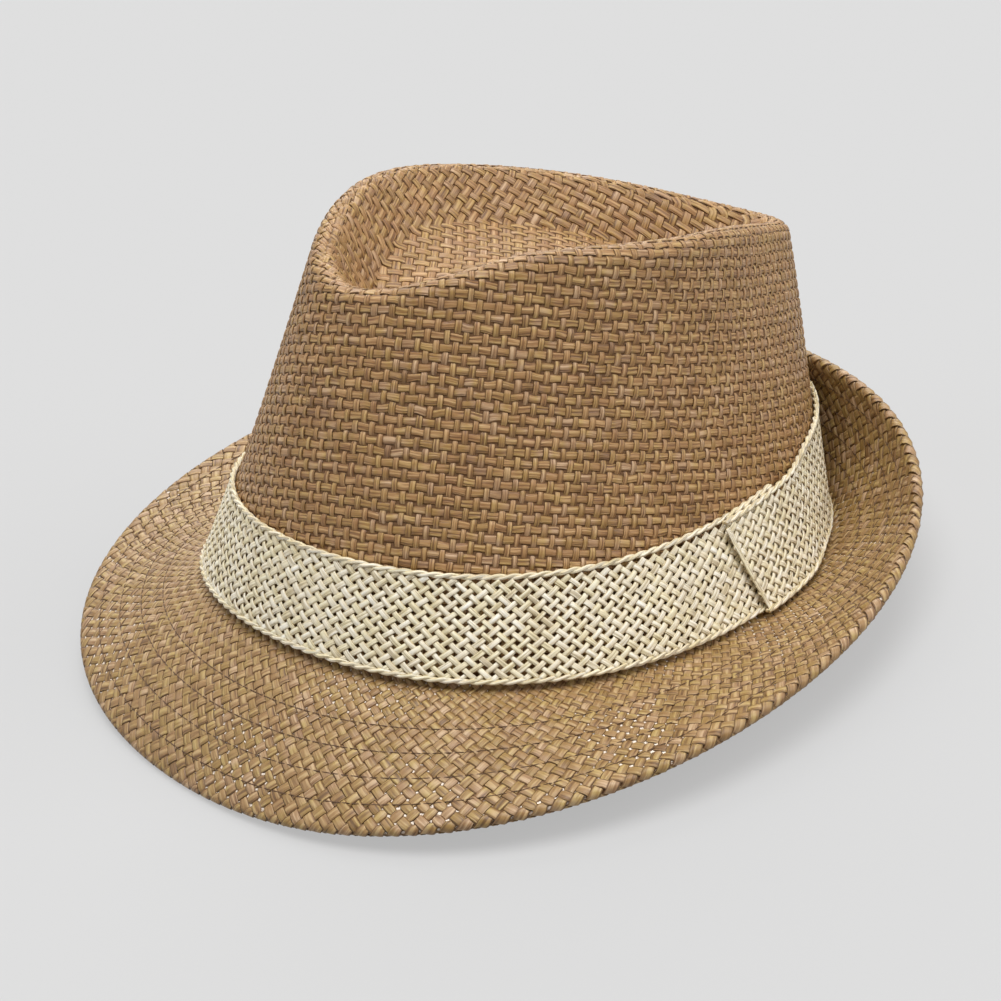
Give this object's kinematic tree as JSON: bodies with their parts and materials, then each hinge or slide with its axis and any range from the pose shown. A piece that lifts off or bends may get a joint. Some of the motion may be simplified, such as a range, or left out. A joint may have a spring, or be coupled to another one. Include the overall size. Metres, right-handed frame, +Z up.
{
  "type": "fedora hat",
  "caption": "Short-brimmed woven straw hat with a teardrop crown, a brim snapped down in front and up at the back, and a braided band.",
  "frame": {"origin": "on the table, under the middle of the hat's overall box", "axes": "+Z up from the table, the hat's front towards -Y, the wearer's left towards +X"},
  "size_m": [0.2664, 0.2547, 0.136],
  "materials": {
    "straw_tan": "matte woven paper straw",
    "band_cream": "matte braided flat straw",
    "thread_brown": "matte twisted thread",
    "sweatband_cloth": "matte grosgrain",
    "edge_wire": "drawn wire"
  },
  "bodies": {
    "root": {"crown": "straw_tan", "brim": "straw_tan", "brim_edge_wire": "edge_wire", "brim_stitch_rows": "thread_brown", "sweatband": "sweatband_cloth", "sweatband_stitching": "thread_brown", "sweatband_joint_tape": "sweatband_cloth", "hat_band": "band_cream", "band_edge_cord_upper": "band_cream", "band_edge_cord_lower": "band_cream"}
  },
  "joints": []
}
